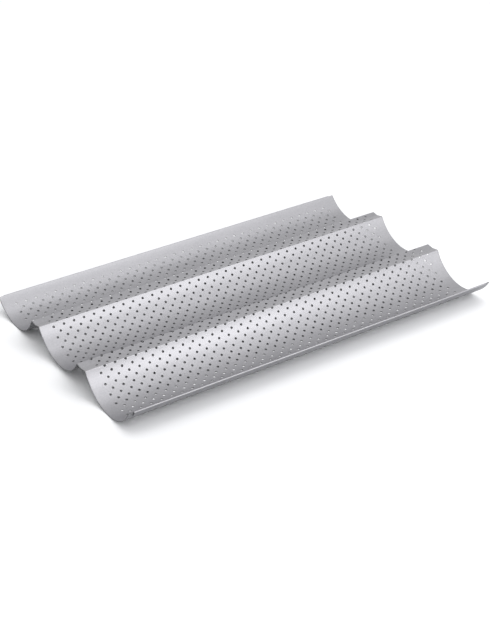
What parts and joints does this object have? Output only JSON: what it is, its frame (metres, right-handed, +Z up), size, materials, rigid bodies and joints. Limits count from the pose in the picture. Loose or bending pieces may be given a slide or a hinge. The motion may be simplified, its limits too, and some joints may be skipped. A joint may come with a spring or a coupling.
{
  "type": "baguette tray",
  "caption": "Wave-shaped baking tray of one perforated coated steel sheet: parallel round-bottomed troughs for baguettes, grooved ridges between them and folded long rims.",
  "frame": {"origin": "centre of the footprint, on the surface that the tray stands on", "axes": "+X along the troughs, +Y across them to the lower, rear rim, +Z up"},
  "size_m": [0.381, 0.2436, 0.0247],
  "materials": {
    "coated_steel": "satin silver-grey non-stick coating with a fine speckle"
  },
  "bodies": {
    "root": {"front_trough": "coated_steel", "middle_trough": "coated_steel", "rear_trough": "coated_steel", "front_ridge": "coated_steel", "rear_ridge": "coated_steel", "front_hem": "coated_steel", "rear_hem": "coated_steel"}
  },
  "joints": []
}
